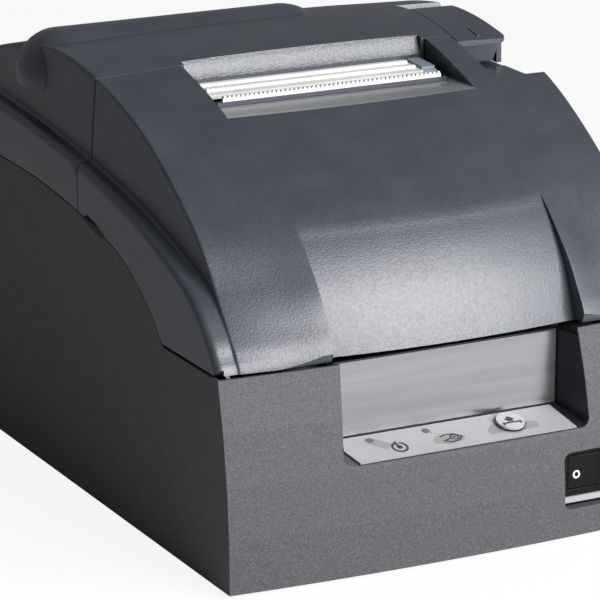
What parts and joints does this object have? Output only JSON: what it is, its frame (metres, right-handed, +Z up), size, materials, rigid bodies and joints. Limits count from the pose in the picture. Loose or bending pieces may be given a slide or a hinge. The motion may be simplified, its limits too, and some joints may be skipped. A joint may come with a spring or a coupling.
{
  "type": "dot matrix receipt printer",
  "caption": "Compact impact receipt printer with a hinged front cover over the print head, a hinged roll cover, a serrated tear bar and a sunk control panel.",
  "frame": {"origin": "centre of the footprint at the underside of the feet", "axes": "+Z up, +Y from the front face to the rear connectors, +X to the right seen from the front"},
  "size_m": [0.16, 0.248, 0.1385],
  "materials": {
    "case_plastic": "fine sparked grain",
    "cover_plastic": "fine leather grain",
    "dark_plastic": "smooth satin",
    "black_rubber": "matt",
    "zinc_steel": "zinc plated sheet",
    "ground_steel": "ground",
    "white_plastic": "smooth",
    "label_print": "printed film",
    "led_lens": "unlit lens",
    "board": "solder mask",
    "cast_alloy": "black painted cast alloy",
    "nose_alloy": "machined",
    "brass": "machined",
    "chute_blue": "dark blue satin",
    "cable_film": "flat film",
    "ink_fabric": "inked weave"
  },
  "bodies": {
    "printer": {"case": "case_plastic", "bottom_plate": "zinc_steel", "feet": "black_rubber", "case_screws": "ground_steel", "recess_plate": "ground_steel", "control_label": "label_print", "status_leds": "led_lens", "panel_board": "board", "switch_bezel": "dark_plastic", "switch_strip": "label_print", "mech_base": "zinc_steel", "mech_posts": "zinc_steel", "side_plate_left": "zinc_steel", "side_plate_right": "zinc_steel", "carriage_shaft": "ground_steel", "guide_rail": "ground_steel", "carriage_motor": "zinc_steel", "idler_post": "ground_steel", "timing_belt": "black_rubber", "platen": "zinc_steel", "platen_pad": "black_rubber", "feed_motor": "zinc_steel", "idler_stud": "ground_steel", "lower_guide": "zinc_steel", "front_chute": "chute_blue", "rear_chute": "zinc_steel", "tear_bar": "white_plastic", "ribbon_cassette": "dark_plastic", "ribbon": "ink_fabric", "roll_tray": "case_plastic", "main_board": "board", "interface_panel": "zinc_steel", "data_connector": "ground_steel", "power_inlet": "dark_plastic", "drawer_jack": "dark_plastic"},
    "front_cover": {"front_cover": "cover_plastic", "front_hinge_pins": "ground_steel"},
    "roll_cover": {"roll_cover": "cover_plastic", "roll_hinge_pins": "ground_steel", "exit_guide": "white_plastic", "lever_pin": "ground_steel", "lever_spring": "ground_steel"},
    "cover_lever": {"cover_lever": "cover_plastic"},
    "feed_button": {"feed_button": "white_plastic"},
    "power_rocker": {"power_rocker": "dark_plastic"},
    "carriage": {"carriage": "dark_plastic", "print_head": "cast_alloy", "head_nose": "nose_alloy", "head_cable": "cable_film"},
    "drive_pulley": {"drive_pulley": "brass"},
    "idler_pulley": {"idler_pulley": "white_plastic"},
    "feed_roller": {"feed_roller": "black_rubber", "feed_gear": "white_plastic"},
    "idler_gear": {"idler_gear": "white_plastic"},
    "motor_pinion": {"motor_pinion": "brass"},
    "pinch_rollers": {"pinch_rollers": "black_rubber"},
    "ribbon_drive": {"ribbon_spindle": "white_plastic", "ribbon_knob": "dark_plastic"},
    "near_end_lever": {"near_end_lever": "dark_plastic"}
  },
  "joints": [
    {"name": "front_cover_hinge", "type": "hinge", "parent": "printer", "child": "front_cover", "pos_m": [0, -0.1067, 0.0695], "axis": [1, 0, 0], "range_deg": [0, 90]},
    {"name": "roll_cover_hinge", "type": "hinge", "parent": "printer", "child": "roll_cover", "pos_m": [0, 0.1219, 0.0955], "axis": [-1, 0, 0], "range_deg": [0, 85]},
    {"name": "cover_lever_pivot", "type": "hinge", "parent": "roll_cover", "child": "cover_lever", "pos_m": [0.064, 0.0126, 0.1302], "axis": [-1, 0, 0], "range_deg": [0, 10], "stiffness_Nm_per_rad": 0.12, "springref_deg": -17.19},
    {"name": "feed_button_press", "type": "slide", "parent": "printer", "child": "feed_button", "axis": [0, 0.2694, -0.963], "range_m": [0, 0.0008], "stiffness_N_per_m": 500, "springref_m": -0.0008},
    {"name": "power_rocker_tilt", "type": "hinge", "parent": "printer", "child": "power_rocker", "pos_m": [0.0455, -0.115, 0.0202], "axis": [0, 0, 1], "range_deg": [0, 12]},
    {"name": "carriage_travel", "type": "slide", "parent": "printer", "child": "carriage", "axis": [1, 0, 0], "range_m": [-0.03, 0.03], "deforming": ["head_cable"]},
    {"name": "drive_pulley_spin", "type": "hinge", "parent": "printer", "child": "drive_pulley", "pos_m": [0.048, -0.079, 0.0765], "axis": [0, 0, 1], "range_deg": [-450, 450]},
    {"name": "idler_pulley_spin", "type": "hinge", "parent": "printer", "child": "idler_pulley", "pos_m": [-0.057, -0.079, 0.0765], "axis": [0, 0, 1], "range_deg": [-450, 450]},
    {"name": "feed_roller_spin", "type": "hinge", "parent": "printer", "child": "feed_roller", "pos_m": [0, -0.0245, 0.065], "axis": [1, 0, 0], "continuous": true},
    {"name": "idler_gear_spin", "type": "hinge", "parent": "printer", "child": "idler_gear", "pos_m": [-0.071, -0.04743, 0.06316], "axis": [1, 0, 0], "continuous": true},
    {"name": "motor_pinion_spin", "type": "hinge", "parent": "printer", "child": "motor_pinion", "pos_m": [-0.071, -0.06138, 0.06203], "axis": [1, 0, 0], "continuous": true},
    {"name": "pinch_rollers_spin", "type": "hinge", "parent": "printer", "child": "pinch_rollers", "pos_m": [0, -0.0354, 0.065], "axis": [1, 0, 0], "continuous": true},
    {"name": "ribbon_drive_spin", "type": "hinge", "parent": "printer", "child": "ribbon_drive", "pos_m": [-0.054, -0.041, 0.081], "axis": [0, 0, 1], "continuous": true},
    {"name": "near_end_lever_swing", "type": "hinge", "parent": "printer", "child": "near_end_lever", "pos_m": [-0.0446, 0.048, 0.057], "axis": [0, 0, 1], "range_deg": [0, 6], "stiffness_Nm_per_rad": 0.03, "springref_deg": -11.46}
  ],
  "couplings": [
    {"joint": "drive_pulley_spin", "follows": "carriage_travel", "rad_per_m": -250},
    {"joint": "idler_pulley_spin", "follows": "carriage_travel", "rad_per_m": -250},
    {"joint": "idler_gear_spin", "follows": "feed_roller_spin", "ratio": -1.5556},
    {"joint": "motor_pinion_spin", "follows": "feed_roller_spin", "ratio": 2.8},
    {"joint": "pinch_rollers_spin", "follows": "feed_roller_spin", "ratio": -1.3636}
  ]
}
